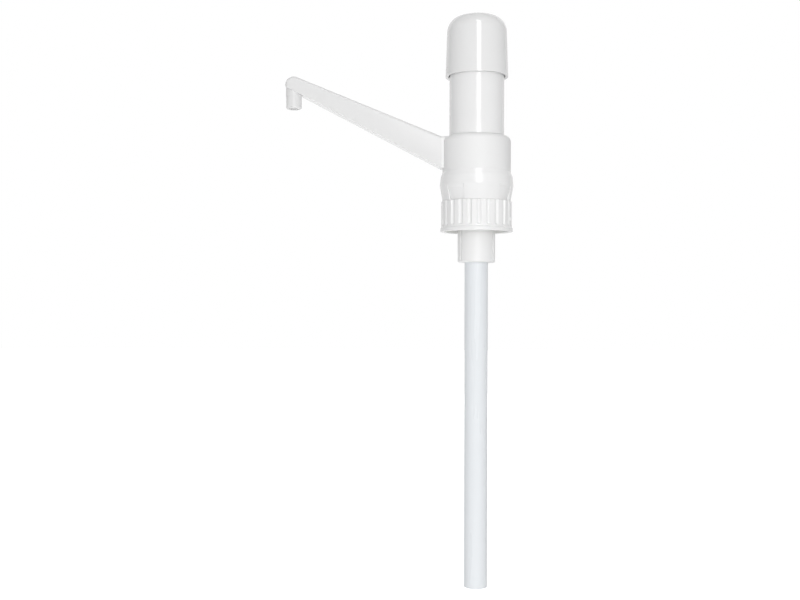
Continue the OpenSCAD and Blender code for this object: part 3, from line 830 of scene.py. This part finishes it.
def tints(nodes, links, value, first, second):
    """A colour between two tints, by a pattern."""
    ramp = nodes.new("ShaderNodeValToRGB")
    ramp.color_ramp.elements[0].position = PATTERN_LOW
    ramp.color_ramp.elements[1].position = PATTERN_HIGH
    ramp.color_ramp.elements[0].color = (*first, 1)
    ramp.color_ramp.elements[1].color = (*second, 1)
    links.new(value, ramp.inputs["Fac"])
    return ramp.outputs["Color"]


def bump(nodes, links, shader, value, height, strength):
    """Fine relief of a surface, its height in millimetres."""
    relief = nodes.new("ShaderNodeBump")
    relief.inputs["Strength"].default_value = strength
    relief.inputs["Distance"].default_value = height * MM
    links.new(value, relief.inputs["Height"])
    links.new(relief.outputs["Normal"], shader.inputs["Normal"])


def plastic(name, shade, rough, grain, hue=(1, 1, 1), stretch=None, shine=0.5):
    """Moulded plastic: two close tints of a shade, uneven gloss and a fine ripple of the mould."""
    material = bpy.data.materials.new(name)
    nodes, links, shader = node_tree(material)
    shader.inputs["IOR"].default_value = PLASTIC_IOR
    shader.inputs["Specular IOR Level"].default_value = shine
    fleck = 0.005
    first = [shade * part * (1 - fleck) for part in hue]
    second = [shade * part * (1 + fleck) for part in hue]
    clouds = noise(nodes, links, scale=35, detail=3, stretch=stretch)
    links.new(tints(nodes, links, clouds, first, second), shader.inputs["Base Color"])
    wear = 0.07
    patches = noise(nodes, links, scale=90, detail=4, stretch=stretch)
    gloss = between(nodes, links, patches, rough * (1 - wear), rough * (1 + wear))
    links.new(gloss, shader.inputs["Roughness"])
    ripple = noise(nodes, links, scale=450, detail=2, stretch=stretch)
    bump(nodes, links, shader, ripple, height=grain, strength=0.35)
    return material


def rubber(name, first, second, rough):
    """Matt rubber with a dusty bloom."""
    material = bpy.data.materials.new(name)
    nodes, links, shader = node_tree(material)
    bloom = noise(nodes, links, scale=220, detail=5)
    links.new(tints(nodes, links, bloom, first, second), shader.inputs["Base Color"])
    wear = 0.08
    patches = noise(nodes, links, scale=300, detail=3)
    gloss = between(nodes, links, patches, rough - wear, rough + wear)
    links.new(gloss, shader.inputs["Roughness"])
    bump(nodes, links, shader, noise(nodes, links, scale=1500, detail=3), height=0.02, strength=0.4)
    return material


def steel(name):
    """Drawn stainless steel with fine marks."""
    material = bpy.data.materials.new(name)
    nodes, links, shader = node_tree(material)
    shader.inputs["Metallic"].default_value = 1
    clouds = noise(nodes, links, scale=160, detail=4)
    tint = tints(nodes, links, clouds, first=(0.56, 0.57, 0.58), second=(0.66, 0.66, 0.66))
    links.new(tint, shader.inputs["Base Color"])
    gloss = between(nodes, links, noise(nodes, links, scale=500, detail=4), low=0.18, high=0.32)
    links.new(gloss, shader.inputs["Roughness"])
    bump(nodes, links, shader, noise(nodes, links, scale=1200, detail=3), height=0.01, strength=0.3)
    return material


# Materials
cap_plastic = plastic("cap_plastic", shade=0.80, rough=0.10, grain=0.008)
barrel_plastic = plastic("barrel_plastic", shade=0.83, rough=0.15, grain=0.01)
head_plastic = plastic("head_plastic", shade=0.82, rough=0.6, grain=0.012)
ring_plastic = plastic("ring_plastic", shade=0.85, rough=0.22, grain=0.012)
arm_plastic = plastic("arm_plastic", shade=0.762, rough=0.14, grain=0.01, shine=0.12)
collar_plastic = plastic("collar_plastic", shade=0.84, rough=0.26, grain=0.015)
inner_plastic = plastic("inner_plastic", shade=0.85, rough=0.3, grain=0.015)
tube_plastic = plastic(
    "tube_plastic", shade=0.82, rough=0.28, grain=0.012, hue=(0.957, 0.99, 1.02), stretch=(1, 1, 0.08)
)
gasket_foam = rubber("gasket_foam", first=(0.68, 0.71, 0.42), second=(0.74, 0.77, 0.50), rough=0.7)
seal_rubber = rubber(
    "seal_rubber", first=(0.035, 0.035, 0.037), second=(0.055, 0.055, 0.056), rough=0.6
)
silicone = rubber("silicone", first=(0.68, 0.69, 0.67), second=(0.74, 0.75, 0.73), rough=0.5)
stainless = steel("stainless")

# Finer pieces in the place of CAD nodes
dress(make_collar(), "screw_collar", collar_plastic)
dress(make_holder(), "tube_holder", inner_plastic)
dress(make_head(), "spout_head", head_plastic)
dress(make_ring(), "clip_ring", ring_plastic)
dress(make_cap(), "press_cap", cap_plastic)
arm = make_arm()
dress(arm, "spout_arm", arm_plastic)
spring = make_spring()
dress(spring, "return_spring", stainless)
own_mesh(spring)

# Nodes shown as the CAD made them
NODE_MATERIALS = {
    "pump_barrel": barrel_plastic,
    "dip_tube": tube_plastic,
    "canister_gasket": gasket_foam,
    "barrel_seal": seal_rubber,
    "holder_seal": seal_rubber,
    "piston_seal": seal_rubber,
    "rod_guide": inner_plastic,
    "valve_cage": inner_plastic,
    "outlet_seat": inner_plastic,
    "plunger_rod": inner_plastic,
    "piston": inner_plastic,
    "outlet_flap": silicone,
    "inlet_ball": stainless,
    "piston_screw": stainless,
}
for node, material in NODE_MATERIALS.items():
    for slot in frame["nodes"][node].material_slots:
        slot.material = material


def make_floor():
    """Large pale floor under the dip tube's end."""
    bm = bmesh.new()
    corners = [(-1, -1), (1, -1), (1, 1), (-1, 1)]
    bm.faces.new([bm.verts.new((x * floor_reach, y * floor_reach, tube_low.z)) for x, y in corners])
    floor = as_object("floor", bm)
    material = bpy.data.materials.new("pale_floor")
    nodes, links, shader = node_tree(material)
    clouds = noise(nodes, links, scale=3, detail=2)
    tint = tints(nodes, links, clouds, first=(0.86, 0.86, 0.86), second=(0.9, 0.9, 0.9))
    links.new(tint, shader.inputs["Base Color"])
    shader.inputs["Roughness"].default_value = 0.9
    shader.inputs["Specular IOR Level"].default_value = 0
    shader.inputs["Emission Color"].default_value = (1, 1, 1, 1)
    shader.inputs["Emission Strength"].default_value = 0.8
    floor.data.materials.append(material)
    floor.visible_diffuse = False
    floor.visible_glossy = False
    floor.visible_shadow = False


def make_world(seen, level, above):
    """White background to look at; the light from all round grows towards the top."""
    world = bpy.data.worlds.new("studio")
    world.use_nodes = True
    nodes, links = world.node_tree.nodes, world.node_tree.links
    around = nodes["Background"]
    around.inputs["Color"].default_value = (1, 1, 1, 1)
    place = nodes.new("ShaderNodeTexCoord")
    parts = nodes.new("ShaderNodeSeparateXYZ")
    links.new(place.outputs["Generated"], parts.inputs["Vector"])
    spread = nodes.new("ShaderNodeMapRange")
    spread.inputs["From Min"].default_value = 0
    spread.inputs["From Max"].default_value = 1
    spread.inputs["To Min"].default_value = level
    spread.inputs["To Max"].default_value = above
    links.new(parts.outputs["Z"], spread.inputs["Value"])
    links.new(spread.outputs["Result"], around.inputs["Strength"])
    behind = nodes.new("ShaderNodeBackground")
    behind.inputs["Strength"].default_value = seen
    behind.inputs["Color"].default_value = (1, 1, 1, 1)
    path = nodes.new("ShaderNodeLightPath")
    mix = nodes.new("ShaderNodeMixShader")
    links.new(path.outputs["Is Camera Ray"], mix.inputs["Fac"])
    links.new(around.outputs["Background"], mix.inputs[1])
    links.new(behind.outputs["Background"], mix.inputs[2])
    links.new(mix.outputs["Shader"], nodes["World Output"].inputs["Surface"])
    bpy.context.scene.world = world


def make_softbox(
    name, target, azimuth, elevation, distance, width, height, power, diffuse=True, glossy=True
):
    """Soft rectangular light that faces a target; azimuth 0 is the front and 90 the right."""
    light = bpy.data.lights.new(name, "AREA")
    light.shape = "RECTANGLE"
    light.size = width
    light.size_y = height
    light.energy = power
    lamp = bpy.data.objects.new(name, light)
    bpy.context.scene.collection.objects.link(lamp)
    a, e = math.radians(azimuth), math.radians(elevation)
    back = Vector((math.sin(a) * math.cos(e), -math.cos(a) * math.cos(e), math.sin(e)))
    lamp.location = target + back * distance
    lamp.rotation_mode = "QUATERNION"
    lamp.rotation_quaternion = back.to_track_quat("Z", "Y")
    lamp.visible_camera = False
    lamp.visible_diffuse = diffuse
    lamp.visible_glossy = glossy
    return lamp


def make_camera():
    """Camera in front of the pump, a little to the spout's side and turned by a trace."""
    lens = bpy.data.cameras.new("camera")
    lens.sensor_width = sensor_w
    lens.lens = focal_length
    camera = bpy.data.objects.new("camera", lens)
    camera.location = camera_place * MM
    camera.rotation_euler = (math.radians(90), math.radians(camera_roll), 0)
    bpy.context.scene.collection.objects.link(camera)
    bpy.context.scene.camera = camera


# Studio: two lamps that only reflect, four that only light, the last of them for the arm alone
make_floor()
make_world(seen=1.0, level=0.47, above=0.74)
middle = Vector((0, 0, head_z1 * MM))
make_softbox(
    "strip_light", middle, azimuth=4, elevation=28, distance=1.3, width=0.32, height=1.3, power=9,
    diffuse=False,
)
make_softbox(
    "edge_light", middle, azimuth=180, elevation=0, distance=1.2, width=3, height=3, power=12,
    diffuse=False,
)
make_softbox(
    "front_light", middle, azimuth=2, elevation=-12, distance=1.6, width=1.4, height=1.4, power=16.9,
    glossy=False,
)
make_softbox(
    "rear_light", middle, azimuth=190, elevation=15, distance=1.6, width=1.2, height=1.2, power=9,
    glossy=False,
)
make_softbox(
    "under_light", middle, azimuth=210, elevation=-67, distance=1.2, width=1, height=1, power=5.5,
    glossy=False,
)
arm_under = make_softbox(
    "arm_under_light", middle, azimuth=210, elevation=-67, distance=1.2, width=1, height=1, power=6,
    glossy=False,
)
arm_only = bpy.data.collections.new("arm_only")
arm_only.objects.link(arm)
arm_under.light_linking.receiver_collection = arm_only
make_camera()
bpy.context.scene.view_settings.view_transform = "Standard"
